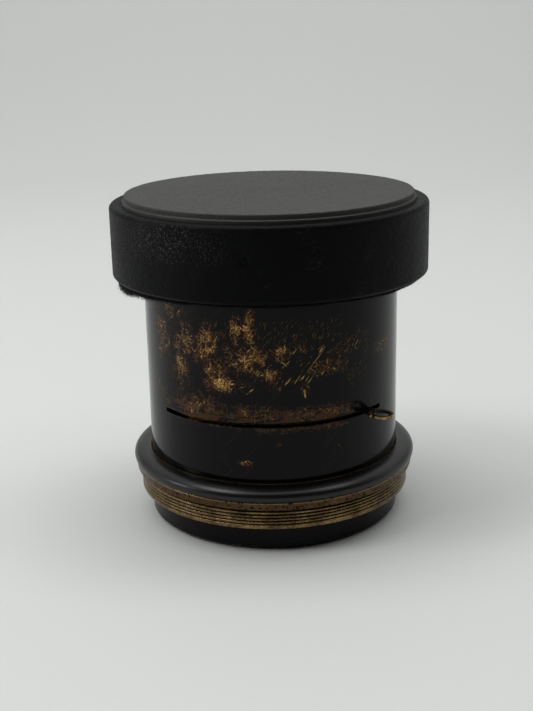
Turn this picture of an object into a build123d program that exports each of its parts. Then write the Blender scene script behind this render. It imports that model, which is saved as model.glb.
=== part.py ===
"""Brass portrait lens: a turned barrel with two glass groups, an iris and a push-on cap.

Millimetres. The optical axis is +Z, pointing to the front of the lens. The origin is the
centre of the rear face, on which the lens stands. The iris slot is cut symmetrically about
-Y, and the lever rests at its +X end, with the iris fully open.
"""

from build123d import *
import os
from math import atan2, cos, degrees, hypot, radians, sin, sqrt

os.makedirs("parts", exist_ok=True)

# ---------------------------------------------------------------- driving dimensions
BARREL_R = 46.0
BARREL_WALL = 2.4
BARREL_BOTTOM = 9.7
BARREL_TOP = 90.5
FIT_GAP = 0.05                      # between fixed pieces screwed or pressed together

FOOT_R = 46.4
FOOT_CHAMFER = 1.4

THREAD_R = 50.2
THREAD_PITCH = 1.2
THREAD_DEPTH = 0.75
THREAD_TURNS = 5
THREAD_LAND = 0.5                   # plain band below the first groove
SEAT_Z = 17.4                       # underside of the rim that seats on the flange
RELIEF_TOP = 16.9                   # undercut between the thread and that seat
RIM_R = 51.8
RIM_TOP = 20.0
BEAD_R = 52.7
BEAD_CREST_Z = 21.9
BEAD_TOP = 25.0

SLOT_Z = 45.9
SLOT_HEIGHT = 1.6
SLOT_HALF_ANGLE = 54.8

LEVER_HALF_TURN = 45.5              # lever travel each side of -Y
LEVER_WIDTH = 8.0
LEVER_THICKNESS = 1.0
LEVER_REACH = 10.7                  # beyond the barrel
LEVER_EYE_R = 2.6
LEVER_FOOT_R = 36.4

LEAVES = 12
LEAF_TURN = 44.0                    # leaf travel for the whole lever travel
LEAF_CIRCLE_R = 38.4                # centre line of an open leaf, and the pivot circle
LEAF_HALF_WIDTH = 3.6
LEAF_END_ANGLE = 24.0               # angle at the pivot between the axis and the drive pin
LEAF_THICKNESS = 0.08
LEAF_RISE = 0.06                    # slope of a leaf towards its high side
LEAF_HIGH_SIDE = 160.0              # where that side lies, round the axis from the pivot
LEAF_PIN_R = 0.5
PIVOT_CLEARANCE = 0.05
CAM_CLEARANCE = 0.15

HOOD_R = 52.8
HOOD_WALL = 2.5
HOOD_TOP = 112.5
HOOD_SHELF_Z = 92.2

CAP_R = 57.1
CAP_BOTTOM = 90.2
CAP_RIM_TOP = 115.8
CAP_TOP = 118.8
CAP_DISC_R = 52.2
LEATHER = 0.8
CARD = 1.1
VELVET_INNER_R = 53.4
VELVET_DROP = 0.8                   # lining showing below the cap's edge

BARREL_BORE_R = BARREL_R - BARREL_WALL
NECK_R = BARREL_BORE_R - FIT_GAP


# ---------------------------------------------------------------- shared shapes
def save(piece, label):
    """Name a finished piece and write its STEP file."""
    piece.label = label
    export_step(piece, f"parts/{label}.step")


def turned(outline):
    """A piece turned about the lens axis from its closed (radius, height) outline."""
    with BuildPart() as piece:
        with BuildSketch(Plane.XZ):
            with BuildLine():
                Polyline(*outline, close=True)
            make_face()
        revolve(axis=Axis.Z)
    return piece.part


def rectangle(inner, outer, low, high):
    """Outline of a plain ring."""
    return [(inner, low), (outer, low), (outer, high), (inner, high)]


def arc_point(radius, sag, edge_z, x):
    """Height at x of a spherical surface with this sag over this radius."""
    if sag == 0:
        return edge_z
    sphere = (radius ** 2 + sag ** 2) / (2 * abs(sag))
    height = sqrt(sphere ** 2 - x ** 2) - (sphere - abs(sag))
    return edge_z + (height if sag > 0 else -height)


def glass(radius, clear_r, low, high, low_sag, high_sag):
    """A lens element between edge heights low and high; positive sags bulge to +Z.

    Outside the clear radius both faces are ground flat, where rings and shoulders bear.
    """
    half = clear_r / 2
    bottom = (0, low + low_sag)
    top = (0, high + high_sag)
    low_middle = (half, arc_point(clear_r, low_sag, low, half))
    high_middle = (half, arc_point(clear_r, high_sag, high, half))
    with BuildPart() as element:
        with BuildSketch(Plane.XZ):
            with BuildLine():
                ThreePointArc(bottom, low_middle, (clear_r, low))
                Polyline((clear_r, low), (radius, low), (radius, high), (clear_r, high))
                ThreePointArc((clear_r, high), high_middle, top)
                Line(top, bottom)
            make_face()
        revolve(axis=Axis.Z)
    return element.part


def polar(radius, angle):
    """Point at this radius and angle, in degrees from +X."""
    return radius * cos(radians(angle)), radius * sin(radians(angle))


# ---------------------------------------------------------------- barrel
IRIS_SEAT_R = 41.0                  # inner rib that the iris base ring sits on
IRIS_SEAT_BOTTOM = 36.6
BASE_RING_BOTTOM = 38.3


def main_barrel():
    """The tube, with its inner rib for the iris and the lever's slot."""
    slot_start = -90 - SLOT_HALF_ANGLE
    slot_plane = Plane(
        origin=(0, 0, SLOT_Z),
        x_dir=(*polar(1, slot_start), 0),
        z_dir=(*polar(1, slot_start - 90), 0),
    )
    with BuildPart() as barrel:
        with BuildSketch(Plane.XZ):
            with BuildLine():
                Polyline(
                    (BARREL_BORE_R, BARREL_BOTTOM),
                    (BARREL_R, BARREL_BOTTOM),
                    (BARREL_R, BARREL_TOP - 0.4),
                    (BARREL_R - 0.4, BARREL_TOP),
                    (BARREL_BORE_R, BARREL_TOP),
                    (BARREL_BORE_R, BASE_RING_BOTTOM),
                    (IRIS_SEAT_R, BASE_RING_BOTTOM),
                    (IRIS_SEAT_R, IRIS_SEAT_BOTTOM),
                    (BARREL_BORE_R, IRIS_SEAT_BOTTOM - 1.5),
                    close=True,
                )
            make_face()
        revolve(axis=Axis.Z)
        with BuildSketch(slot_plane):
            with Locations((BARREL_R, 0)):
                Rectangle(4 * BARREL_WALL, SLOT_HEIGHT)
        revolve(axis=Axis.Z, revolution_arc=2 * SLOT_HALF_ANGLE, mode=Mode.SUBTRACT)
    return barrel.part


def mount_collar():
    """Threaded seat for the camera flange, its rim and the rounded bead above it."""
    outline = [(BARREL_R, BARREL_BOTTOM), (THREAD_R - 0.4, BARREL_BOTTOM)]
    outline += [(THREAD_R, BARREL_BOTTOM + 0.4)]
    for turn in range(THREAD_TURNS):
        groove = BARREL_BOTTOM + THREAD_LAND + (turn + 1) * THREAD_PITCH
        flank = 0.45 * THREAD_PITCH
        outline += [(THREAD_R, groove - flank), (THREAD_R - THREAD_DEPTH, groove)]
        if turn < THREAD_TURNS - 1:
            outline += [(THREAD_R, groove + flank)]
    outline += [(THREAD_R - THREAD_DEPTH, RELIEF_TOP), (THREAD_R + FIT_GAP, SEAT_Z)]
    outline += [(RIM_R, SEAT_Z), (RIM_R, RIM_TOP)]
    with BuildPart() as collar:
        with BuildSketch(Plane.XZ):
            with BuildLine():
                Polyline(*outline)
                Spline(
                    (RIM_R, RIM_TOP),
                    (BEAD_R, BEAD_CREST_Z),
                    (BEAD_R - 1.3, BEAD_TOP - 0.9),
                    (BARREL_R + 2.6, BEAD_TOP - 0.15),
                    (BARREL_R, BEAD_TOP),
                    tangents=[(1, 0.6), (-1, 0.02)],
                )
                Line((BARREL_R, BEAD_TOP), (BARREL_R, BARREL_BOTTOM))
            make_face()
        revolve(axis=Axis.Z)
    return collar.part


# ---------------------------------------------------------------- rear glass group
REAR_GLASS_R = 40.2
REAR_BORE_R = 40.5
REAR_SHOULDER_Z = 26.5
REAR_CLEAR_R = 38.6
REAR_FLINT_LOW = 22.0
REAR_CROWN_HIGH = 20.0
REAR_CROWN_LOW = 16.5
REAR_RING_LOW = 13.6


def rear_cell():
    """Rear cell: a flanged tube screwed into the barrel; its flange is the foot."""
    mouth_r = REAR_BORE_R + 1.2
    return turned([
        (mouth_r, 0),
        (FOOT_R - FOOT_CHAMFER, 0),
        (FOOT_R, FOOT_CHAMFER),
        (FOOT_R, BARREL_BOTTOM),
        (NECK_R, BARREL_BOTTOM),
        (NECK_R, REAR_SHOULDER_Z + 1.6),
        (REAR_CLEAR_R, REAR_SHOULDER_Z + 1.6),
        (REAR_CLEAR_R, REAR_SHOULDER_Z),
        (REAR_BORE_R, REAR_SHOULDER_Z),
        (REAR_BORE_R, 7.0),
        (mouth_r, 7.0),
    ])


def slotted_ring(inner, outer, low, high, slots_low):
    """A threaded retaining ring; two opposite spanner slots start at slots_low, half its depth."""
    with BuildPart() as ring:
        with BuildSketch(Plane.XY.offset(low)):
            Circle(outer)
            Circle(inner, mode=Mode.SUBTRACT)
        extrude(amount=high - low)
        with BuildSketch(Plane.XY.offset(slots_low)):
            Rectangle(3 * outer, 1.6)
        extrude(amount=(high - low) / 2, mode=Mode.SUBTRACT)
    return ring.part


# ---------------------------------------------------------------- front glass group
FRONT_GLASS_R = 46.0
FRONT_BORE_R = 46.25
FRONT_CLEAR_R = 44.4
FRONT_FLINT_LOW = 93.8
FRONT_JOINT_Z = 100.2               # edge height of the cemented surface
FRONT_CROWN_HIGH = 102.4
FRONT_RING_HIGH = 105.0
FRONT_CELL_TOP = 106.4
HOOD_SPIGOT_BOTTOM = 82.0


def front_hood():
    """Flared front mount with a spigot into the barrel; the cap pushes over it."""
    bore = HOOD_R - HOOD_WALL
    spigot_r = NECK_R - 2.0
    with BuildPart() as hood:
        with BuildSketch(Plane.XZ):
            with BuildLine():
                Polyline(
                    (spigot_r, HOOD_SPIGOT_BOTTOM),
                    (NECK_R, HOOD_SPIGOT_BOTTOM),
                    (NECK_R, BARREL_TOP),
                    (BARREL_R, BARREL_TOP),
                )
                ThreePointArc(
                    (BARREL_R, BARREL_TOP),
                    (HOOD_R - 3.0, BARREL_TOP + 1.3),
                    (HOOD_R, BARREL_TOP + 4.6),
                )
                Polyline(
                    (HOOD_R, BARREL_TOP + 4.6),
                    (HOOD_R, HOOD_TOP - 0.6),
                    (HOOD_R - 0.6, HOOD_TOP),
                    (bore + 0.6, HOOD_TOP),
                    (bore, HOOD_TOP - 0.6),
                    (bore, HOOD_SHELF_Z),
                    (spigot_r, HOOD_SHELF_Z),
                    (spigot_r, HOOD_SPIGOT_BOTTOM),
                )
            make_face()
        revolve(axis=Axis.Z)
    return hood.part


def front_cell():
    """Cell that carries the front doublet, screwed down on the hood's shelf."""
    outer = HOOD_R - HOOD_WALL - FIT_GAP
    return turned([
        (FRONT_CLEAR_R, HOOD_SHELF_Z),
        (outer, HOOD_SHELF_Z),
        (outer, FRONT_CELL_TOP),
        (FRONT_BORE_R + 1.2, FRONT_CELL_TOP),
        (FRONT_BORE_R, FRONT_RING_HIGH),
        (FRONT_BORE_R, FRONT_FLINT_LOW),
        (FRONT_CLEAR_R, FRONT_FLINT_LOW),
    ])


# ---------------------------------------------------------------- iris
RING_BOTTOM = 44.4                  # drive ring, with the lever screwed on top of it
RING_TOP = SLOT_Z - LEVER_THICKNESS / 2
RING_INNER_R = 30.0
RING_OUTER_R = BARREL_BORE_R - 0.4
BASE_RING_TOP = BASE_RING_BOTTOM + 1.0
BASE_INNER_R = 32.6
SPACER_INNER_R = 42.4
SPACER_TOP = RING_BOTTOM - 0.2
LEAF_PIVOT_Z = BASE_RING_TOP + 0.35
LEVER_ANGLE = -90 + LEVER_HALF_TURN
RING_PER_LEAF = 2 * LEVER_HALF_TURN / LEAF_TURN
LEAF_SPAN = 180 - 2 * LEAF_END_ANGLE
LEAF_PIN_SPACING = 2 * LEAF_CIRCLE_R * cos(radians(LEAF_END_ANGLE))
LEAF_PHASE = LEVER_ANGLE + LEAF_SPAN + 10   # puts the lever's foot between two cam slots


def cam_point(turn):
    """Drive pin of the leaf pivoted on +X, seen from the drive ring, after a leaf turn."""
    angle = 180 + LEAF_END_ANGLE - turn
    x = LEAF_CIRCLE_R + LEAF_PIN_SPACING * cos(radians(angle))
    y = LEAF_PIN_SPACING * sin(radians(angle))
    return polar(hypot(x, y), degrees(atan2(y, x)) + turn * RING_PER_LEAF)


def cam_slot():
    """Cutter for one slot: the track that the drive pin needs, in and out again."""
    steps = 8
    track = [cam_point(LEAF_TURN * step / steps) for step in range(steps + 1)]
    with BuildPart() as cutter:
        with BuildSketch(Plane.XY.offset(RING_BOTTOM - 1)):
            for (x1, y1), (x2, y2) in zip(track, track[1:]):
                with Locations(((x1 + x2) / 2, (y1 + y2) / 2)):
                    SlotCenterToCenter(
                        hypot(x2 - x1, y2 - y1),
                        2 * (LEAF_PIN_R + CAM_CLEARANCE),
                        rotation=degrees(atan2(y2 - y1, x2 - x1)),
                    )
        extrude(amount=RING_TOP - RING_BOTTOM + 2)
    return cutter.part


LEVER_SCREW_R = 0.8
LEVER_SCREW_HEAD_R = 1.4
LEVER_SCREW_CIRCLE_R = 41.3
LEVER_SCREW_SPACING = 5.0


def lever_screw_places():
    """Where the two lever screws stand."""
    along_x, along_y = polar(1, LEVER_ANGLE)
    return [
        (LEVER_SCREW_CIRCLE_R * along_x - side * along_y,
         LEVER_SCREW_CIRCLE_R * along_y + side * along_x)
        for side in (-LEVER_SCREW_SPACING / 2, LEVER_SCREW_SPACING / 2)
    ]


def iris_drive_ring():
    """Turning ring: a cam slot for each leaf and two holes for the lever's screws."""
    slot = cam_slot()
    with BuildPart() as ring:
        with BuildSketch(Plane.XY.offset(RING_BOTTOM)):
            Circle(RING_OUTER_R)
            Circle(RING_INNER_R, mode=Mode.SUBTRACT)
        extrude(amount=RING_TOP - RING_BOTTOM)
        with PolarLocations(0, LEAVES, start_angle=LEAF_PHASE):
            add(slot, mode=Mode.SUBTRACT)
        with BuildSketch(Plane.XY.offset(RING_BOTTOM)):
            with Locations(*lever_screw_places()):
                Circle(LEVER_SCREW_R)
        extrude(amount=RING_TOP - RING_BOTTOM, mode=Mode.SUBTRACT)
    return ring.part


def iris_lever():
    """Flat brass lever: a foot on the drive ring and a rounded eye outside the barrel."""
    eye = BARREL_R + LEVER_REACH - LEVER_WIDTH / 2
    lever_plane = Plane(
        origin=(0, 0, RING_TOP),
        x_dir=(*polar(1, LEVER_ANGLE), 0),
        z_dir=(0, 0, 1),
    )
    with BuildPart() as lever:
        with BuildSketch(lever_plane):
            with Locations(((LEVER_FOOT_R + eye) / 2, 0)):
                Rectangle(eye - LEVER_FOOT_R, LEVER_WIDTH)
            with Locations((eye, 0)):
                Circle(LEVER_WIDTH / 2)
                Circle(LEVER_EYE_R, mode=Mode.SUBTRACT)
            for side in (-1, 1):
                with Locations((LEVER_SCREW_CIRCLE_R, side * LEVER_SCREW_SPACING / 2)):
                    Circle(LEVER_SCREW_R, mode=Mode.SUBTRACT)
        extrude(amount=LEVER_THICKNESS)
        rounded = lever.edges().filter_by(GeomType.CIRCLE).filter_by(
            lambda edge: abs(edge.radius - LEVER_WIDTH / 2) < 0.01)
        chamfer(rounded, 0.2)
    return lever.part


def lever_screws():
    """Two cheese-head screws that hold the lever to the drive ring."""
    head_z = RING_TOP + LEVER_THICKNESS
    with BuildPart() as screws:
        with BuildSketch(Plane.XY.offset(RING_BOTTOM)):
            with Locations(*lever_screw_places()):
                Circle(LEVER_SCREW_R)
        extrude(amount=head_z - RING_BOTTOM)
        with BuildSketch(Plane.XY.offset(head_z)):
            with Locations(*lever_screw_places()):
                Circle(LEVER_SCREW_HEAD_R)
        extrude(amount=0.8)
        with BuildSketch(Plane.XY.offset(head_z + 0.4)):
            with Locations(*lever_screw_places()):
                Rectangle(3 * LEVER_SCREW_HEAD_R, 0.35)
        extrude(amount=0.5, mode=Mode.SUBTRACT)
    return screws.part


def iris_base_ring():
    """Fixed ring with a pivot hole for each leaf."""
    with BuildPart() as ring:
        with BuildSketch(Plane.XY.offset(BASE_RING_BOTTOM)):
            Circle(NECK_R)
            Circle(BASE_INNER_R, mode=Mode.SUBTRACT)
            with PolarLocations(LEAF_CIRCLE_R, LEAVES, start_angle=LEAF_PHASE):
                Circle(LEAF_PIN_R + PIVOT_CLEARANCE, mode=Mode.SUBTRACT)
        extrude(amount=BASE_RING_TOP - BASE_RING_BOTTOM)
    return ring.part


def iris_cover_ring():
    """Fixed ring screwed in above the lever; its lip keeps the drive ring down."""
    plate_low = RING_TOP + LEVER_THICKNESS + 1.4
    plate_high = plate_low + 1.0
    lip_r = LEVER_FOOT_R - 2.0
    return turned([
        (RING_INNER_R + 0.6, RING_TOP + 0.2),
        (lip_r, RING_TOP + 0.2),
        (lip_r, plate_low),
        (NECK_R, plate_low),
        (NECK_R, plate_high + 2.0),
        (NECK_R - 1.2, plate_high + 2.0),
        (NECK_R - 1.2, plate_high),
        (RING_INNER_R + 0.6, plate_high),
    ])


def iris_leaf():
    """One leaf, pivoted on +X: a thin sloping crescent with a pin down and a pin up."""
    high_x, high_y = polar(LEAF_RISE, -LEAF_HIGH_SIDE)
    drive_x, drive_y = polar(LEAF_CIRCLE_R, -LEAF_SPAN)
    drive_z = LEAF_PIVOT_Z + (drive_x - LEAF_CIRCLE_R) * high_x + drive_y * high_y
    slope = Plane(
        origin=(0, 0, LEAF_PIVOT_Z - LEAF_CIRCLE_R * high_x),
        x_dir=(1, 0, high_x),
        z_dir=(-high_x, -high_y, 1),
    )
    pivot_bottom = BASE_RING_BOTTOM + 0.2
    drive_top = RING_TOP - 0.1
    centre_line = CenterArc((0, 0), LEAF_CIRCLE_R, -LEAF_SPAN, LEAF_SPAN)
    with BuildPart() as leaf:
        with BuildSketch(slope):
            SlotArc(centre_line, 2 * LEAF_HALF_WIDTH)
        extrude(amount=LEAF_THICKNESS / 2, both=True)
        with BuildSketch(Plane.XY.offset(pivot_bottom)):
            with Locations((LEAF_CIRCLE_R, 0)):
                Circle(LEAF_PIN_R)
        extrude(amount=LEAF_PIVOT_Z - pivot_bottom)
        with BuildSketch(Plane.XY.offset(drive_z)):
            with Locations((drive_x, drive_y)):
                Circle(LEAF_PIN_R)
        extrude(amount=drive_top - drive_z)
    return leaf.part


# ---------------------------------------------------------------- cap
CARD_OUTER_R = CAP_R - LEATHER
CARD_INNER_R = CARD_OUTER_R - CARD
CARD_TOP = CAP_RIM_TOP - LEATHER
CARD_DISC = 1.6
VELVET_PILE = 0.6


def cap_leather_band():
    """Leather cover of the side, turned in at the bottom edge and over the top edge."""
    round_r = LEATHER
    with BuildPart() as band:
        with BuildSketch(Plane.XZ):
            with BuildLine():
                Polyline(
                    (CAP_R, CAP_BOTTOM + round_r),
                    (CAP_R, CAP_RIM_TOP - round_r),
                )
                ThreePointArc(
                    (CAP_R, CAP_RIM_TOP - round_r),
                    (CAP_R - 0.293 * round_r, CAP_RIM_TOP - 0.293 * round_r),
                    (CAP_R - round_r, CAP_RIM_TOP),
                )
                Polyline(
                    (CAP_R - round_r, CAP_RIM_TOP),
                    (CAP_DISC_R + 0.5, CAP_RIM_TOP),
                    (CAP_DISC_R + 0.5, CARD_TOP),
                    (CARD_OUTER_R, CARD_TOP),
                    (CARD_OUTER_R, CAP_BOTTOM + LEATHER),
                    (CARD_INNER_R, CAP_BOTTOM + LEATHER),
                    (CARD_INNER_R, CAP_BOTTOM),
                    (CAP_R - round_r, CAP_BOTTOM),
                )
                ThreePointArc(
                    (CAP_R - round_r, CAP_BOTTOM),
                    (CAP_R - 0.293 * round_r, CAP_BOTTOM + 0.293 * round_r),
                    (CAP_R, CAP_BOTTOM + round_r),
                )
            make_face()
        revolve(axis=Axis.Z)
    return band.part


def cap_leather_top():
    """Leather-covered top disc: a shallow inverted dish with a rounded edge."""
    with BuildPart() as top:
        with BuildSketch(Plane.XY.offset(CARD_TOP)):
            Circle(CAP_DISC_R)
        extrude(amount=CAP_TOP - CARD_TOP)
        fillet(top.faces().sort_by(Axis.Z)[-1].edges(), 1.3)
        with BuildSketch(Plane.XY.offset(CARD_TOP)):
            Circle(CAP_DISC_R - LEATHER)
        extrude(amount=CAP_TOP - CARD_TOP - LEATHER, mode=Mode.SUBTRACT)
    return top.part


def cap_top_board():
    """Board that gives the raised top disc its thickness."""
    with BuildPart() as board:
        with BuildSketch(Plane.XY.offset(CARD_TOP)):
            Circle(CAP_DISC_R - LEATHER)
        extrude(amount=CAP_TOP - CARD_TOP - LEATHER)
    return board.part


def disc(radius, low, high):
    """A plain disc on the lens axis."""
    with BuildPart() as plain:
        with BuildSketch(Plane.XY.offset(low)):
            Circle(radius)
        extrude(amount=high - low)
    return plain.part


# ---------------------------------------------------------------- all pieces
save(main_barrel(), "main_barrel")
save(mount_collar(), "mount_collar")

save(rear_cell(), "rear_cell")
save(glass(REAR_GLASS_R, REAR_CLEAR_R, REAR_FLINT_LOW, REAR_SHOULDER_Z, 4.5, 3.0),
     "rear_flint")
save(turned(rectangle(REAR_CLEAR_R, REAR_GLASS_R, REAR_CROWN_HIGH, REAR_FLINT_LOW)), "rear_spacer")
save(glass(REAR_GLASS_R, REAR_CLEAR_R, REAR_CROWN_LOW, REAR_CROWN_HIGH, -4.0, 3.0),
     "rear_crown")
save(slotted_ring(REAR_CLEAR_R, REAR_BORE_R - FIT_GAP, REAR_RING_LOW, REAR_CROWN_LOW,
                  REAR_RING_LOW), "rear_retaining_ring")

save(front_hood(), "front_hood")
save(front_cell(), "front_cell")
save(glass(FRONT_GLASS_R, FRONT_CLEAR_R, FRONT_FLINT_LOW, FRONT_JOINT_Z, 0.6, -4.4),
     "front_flint")
save(glass(FRONT_GLASS_R, FRONT_CLEAR_R, FRONT_JOINT_Z, FRONT_CROWN_HIGH, -4.4, 4.2),
     "front_crown")
save(slotted_ring(FRONT_CLEAR_R, FRONT_BORE_R - FIT_GAP, FRONT_CROWN_HIGH, FRONT_RING_HIGH,
                  (FRONT_CROWN_HIGH + FRONT_RING_HIGH) / 2), "front_retaining_ring")

save(iris_base_ring(), "iris_base_ring")
save(turned(rectangle(SPACER_INNER_R, NECK_R, BASE_RING_TOP, SPACER_TOP)), "iris_spacer_ring")
save(iris_drive_ring(), "iris_drive_ring")
save(iris_cover_ring(), "iris_cover_ring")
save(iris_lever(), "iris_lever")
save(lever_screws(), "lever_screws")

first_leaf = iris_leaf()
for number in range(LEAVES):
    angle = LEAF_PHASE + number * 360 / LEAVES
    save(first_leaf.rotate(Axis.Z, angle), f"iris_leaf_{number + 1:02d}")

save(cap_leather_band(), "cap_leather_band")
save(cap_leather_top(), "cap_leather_top")
save(cap_top_board(), "cap_top_board")
save(disc(CARD_OUTER_R, CARD_TOP - CARD_DISC, CARD_TOP), "cap_board_disc")
save(turned(rectangle(CARD_INNER_R, CARD_OUTER_R, CAP_BOTTOM + LEATHER, CARD_TOP - CARD_DISC)),
     "cap_board_tube")
save(turned(rectangle(VELVET_INNER_R, CARD_INNER_R, CAP_BOTTOM - VELVET_DROP,
                      CARD_TOP - CARD_DISC)), "cap_velvet_lining")
save(disc(VELVET_INNER_R - 0.1, CARD_TOP - CARD_DISC - VELVET_PILE, CARD_TOP - CARD_DISC),
     "cap_velvet_disc")
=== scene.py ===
"""The looks of the brass portrait lens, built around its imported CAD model.

Lengths in this file are metres, as in the frame, unless a name ends in _MM. Angles round the
lens are measured from -Y, where the camera stands, towards +X.
"""

import math
import random

import bmesh
import bpy
import numpy as np
from mathutils import Matrix, Vector, noise


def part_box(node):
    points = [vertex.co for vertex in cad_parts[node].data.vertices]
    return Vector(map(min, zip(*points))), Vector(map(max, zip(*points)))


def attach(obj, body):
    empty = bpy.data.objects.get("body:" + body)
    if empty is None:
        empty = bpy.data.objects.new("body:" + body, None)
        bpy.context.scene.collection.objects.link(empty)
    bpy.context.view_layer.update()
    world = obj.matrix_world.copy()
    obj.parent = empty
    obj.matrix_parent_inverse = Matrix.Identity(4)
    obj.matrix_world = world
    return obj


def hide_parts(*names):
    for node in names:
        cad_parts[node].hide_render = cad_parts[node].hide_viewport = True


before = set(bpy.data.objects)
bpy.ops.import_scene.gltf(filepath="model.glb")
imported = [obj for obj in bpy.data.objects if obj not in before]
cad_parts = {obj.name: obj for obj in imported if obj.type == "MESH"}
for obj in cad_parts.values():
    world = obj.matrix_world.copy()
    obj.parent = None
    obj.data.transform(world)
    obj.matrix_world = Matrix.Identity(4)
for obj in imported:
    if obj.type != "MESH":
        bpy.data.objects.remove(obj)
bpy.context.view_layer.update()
MM = 0.001


# ================================================================ sizes
def cad_sizes(node):
    """A turned CAD node's outer radius, bottom and top, in millimetres to one decimal."""
    low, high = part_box(node)
    return [round(value / MM, 1) for value in (-low.x, low.z, high.z)]


BARREL_R_MM = cad_sizes("main_barrel")[0]
SLOT_Z_MM = 45.9

BEAD_R_MM, COLLAR_BOTTOM_MM, BEAD_TOP_MM = cad_sizes("mount_collar")
COLLAR_TOP_MM = BEAD_TOP_MM - 0.1   # where the bead meets the barrel
BEAD_CREST_MM = 21.7                # where the bead is widest
RIM_R_MM = 51.8
RIM_TOP_MM = 20.0
RIM_LOW_MM = 17.4
RELIEF_TOP_MM = 16.9                # top of the groove between thread and rim
THREAD_R_MM = 50.2
PITCH_MM = 1.2
GROOVE_DEPTH_MM = 0.66

CAP_R_MM, CAP_BOTTOM_MM, CAP_RIM_MM = cad_sizes("cap_leather_band")
DISC_R_MM, _, CAP_TOP_MM = cad_sizes("cap_leather_top")
LEATHER_MM = 0.8
CARD_MM = 1.1
CARD_TOP_MM = CAP_RIM_MM - LEATHER_MM
CARD_OUTER_MM = CAP_R_MM - LEATHER_MM
CARD_INNER_MM = CARD_OUTER_MM - CARD_MM
GRAIN_MM = 1.15                     # size of the leather's pebbles
PEBBLE_HEIGHT_MM = 0.085
LINING_INNER_MM = 53.4
_, LINING_BOTTOM_MM, LINING_TOP_MM = cad_sizes("cap_velvet_lining")

LEVER_LOW, LEVER_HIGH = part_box("iris_lever")
LEVER_ANGLE = math.radians(45.5)
LEVER_REACH_MM = 10.7               # from the barrel's surface to the lever's tip
LEVER_WIDTH_MM = 8.0
LEVER_NECK_MM = 4.6
LEVER_HOLE_MM = 2.6
LEVER_FOOT_MM = 36.45
LEVER_SHOULDER_MM = 42.9            # where the foot starts to narrow into the neck
LEVER_SCREWS_MM = (41.3, 2.5)       # distance from the lens axis, and to either side
LEVER_SCREW_R_MM = 0.82
LEVER_EYE_MM = BARREL_R_MM + LEVER_REACH_MM - LEVER_WIDTH_MM / 2

FIT_MM = 0.02                       # gap between a piece and the CAD face that it lies on
SKIN_MM = 0.06                      # room for relief inside a CAD face


def add_object(name, data):
    """A new object in the scene."""
    made = bpy.data.objects.new(name, data)
    bpy.context.scene.collection.objects.link(made)
    return made


# ================================================================ camera, floor and light
CAMERA_DISTANCE = 0.4087
CAMERA_HEIGHT = 0.1799
CAMERA_YAW = math.radians(0.29)
CAMERA_PITCH = math.radians(-16.75)
CAMERA_ROLL = math.radians(1.23)
CAMERA_LENS = 58.0                  # millimetres
CAMERA_SENSOR = 36.0                # millimetres, along the picture's long side

BACKDROP_GREY = (0.640, 0.655, 0.640)
STUDIO_TINT = (0.985, 1.0, 0.985)
LIT_FROM_BEHIND = 0.76              # studio brightness behind the lens
DIM_IN_FRONT = 0.04                 # and in front of it
STUDIO_SPAN = (-0.50, 0.60)         # directions in Y between which it goes from dim to lit
SEEN_BACKGROUND = 0.85              # brightness of what the camera sees past the backdrop

FLOOR_HALF_WIDTH = 2.6
FLOOR_FRONT = -2.2
FLOOR_BACK = 0.8                    # where the floor starts to sweep up
FLOOR_BEND = 0.9
BACKDROP_TOP = 1.3

# Softboxes: name, place, what it is turned to, size and watts.
SOFTBOXES = [
    ("upper_left", (-0.60, -0.28, 1.05), (0, 0, 0.05), (0.42, 0.42), 3.7),
    ("upper_right", (0.62, -0.28, 1.05), (0, 0, 0.05), (0.36, 0.36), 0.9),
    ("above_front", (0.05, -0.42, 1.50), (0, -0.25, 0), (0.8, 0.5), 1.9),
    ("left_side", (-0.95, -0.18, 0.36), (0, 0, 0.10), (0.22, 0.22), 1.6),
    ("backdrop_light", (0.0, 0.25, 2.1), (0, 1.75, 0.45), (2.4, 0.9), 31.0),
]


def make_camera():
    """The photograph's viewpoint: a little above the cap, looking down on the lens."""
    data = bpy.data.cameras.new("camera")
    data.lens = CAMERA_LENS
    data.sensor_width = CAMERA_SENSOR
    camera = add_object("camera", data)
    turn = (
        Matrix.Rotation(CAMERA_YAW, 4, "Z")
        @ Matrix.Rotation(CAMERA_PITCH, 4, "X")
        @ Matrix.Rotation(CAMERA_ROLL, 4, "Y")
        @ Matrix.Rotation(math.pi / 2, 4, "X")
    )
    camera.matrix_world = Matrix.Translation((0, -CAMERA_DISTANCE, CAMERA_HEIGHT)) @ turn
    bpy.context.scene.camera = camera


def area_light(name, place, aim, size, power):
    """A rectangular softbox at a place, turned towards aim."""
    data = bpy.data.lights.new(name, "AREA")
    data.shape = "RECTANGLE"
    data.size, data.size_y = size
    data.energy = power
    light = add_object(name, data)
    light.location = place
    light.rotation_euler = (Vector(aim) - Vector(place)).to_track_quat("-Z", "Y").to_euler()


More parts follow.
